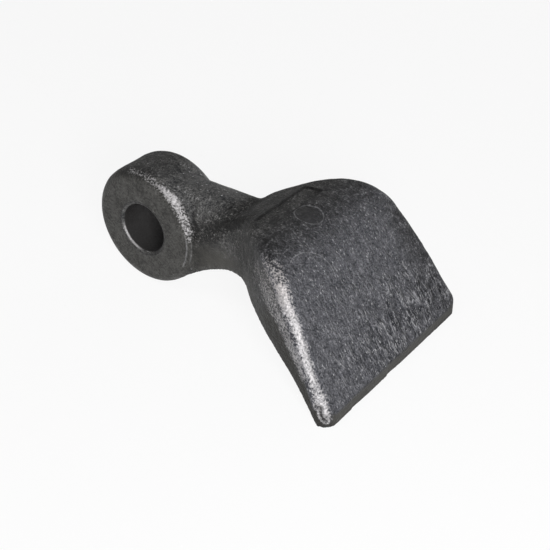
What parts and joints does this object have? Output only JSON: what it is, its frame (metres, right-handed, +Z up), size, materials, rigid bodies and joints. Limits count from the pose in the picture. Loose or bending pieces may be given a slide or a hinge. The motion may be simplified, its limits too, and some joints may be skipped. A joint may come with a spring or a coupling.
{
  "type": "shredder hammer",
  "caption": "Forged steel hammer with a pin eye, a short round neck and a bent blade that flares to a broad cutting edge, arched underneath.",
  "frame": {"origin": "middle of the pin bore, on its axis", "axes": "+X from the bore to the cutting edge, +Y along the bore, +Z up, away from the arched underside"},
  "size_m": [0.1352, 0.0876, 0.0525],
  "materials": {
    "forged_steel": "as forged, dark grey mill scale, with smooth trimmed sides and bright worn edges"
  },
  "bodies": {
    "root": {"hammer": "forged_steel"}
  },
  "joints": []
}
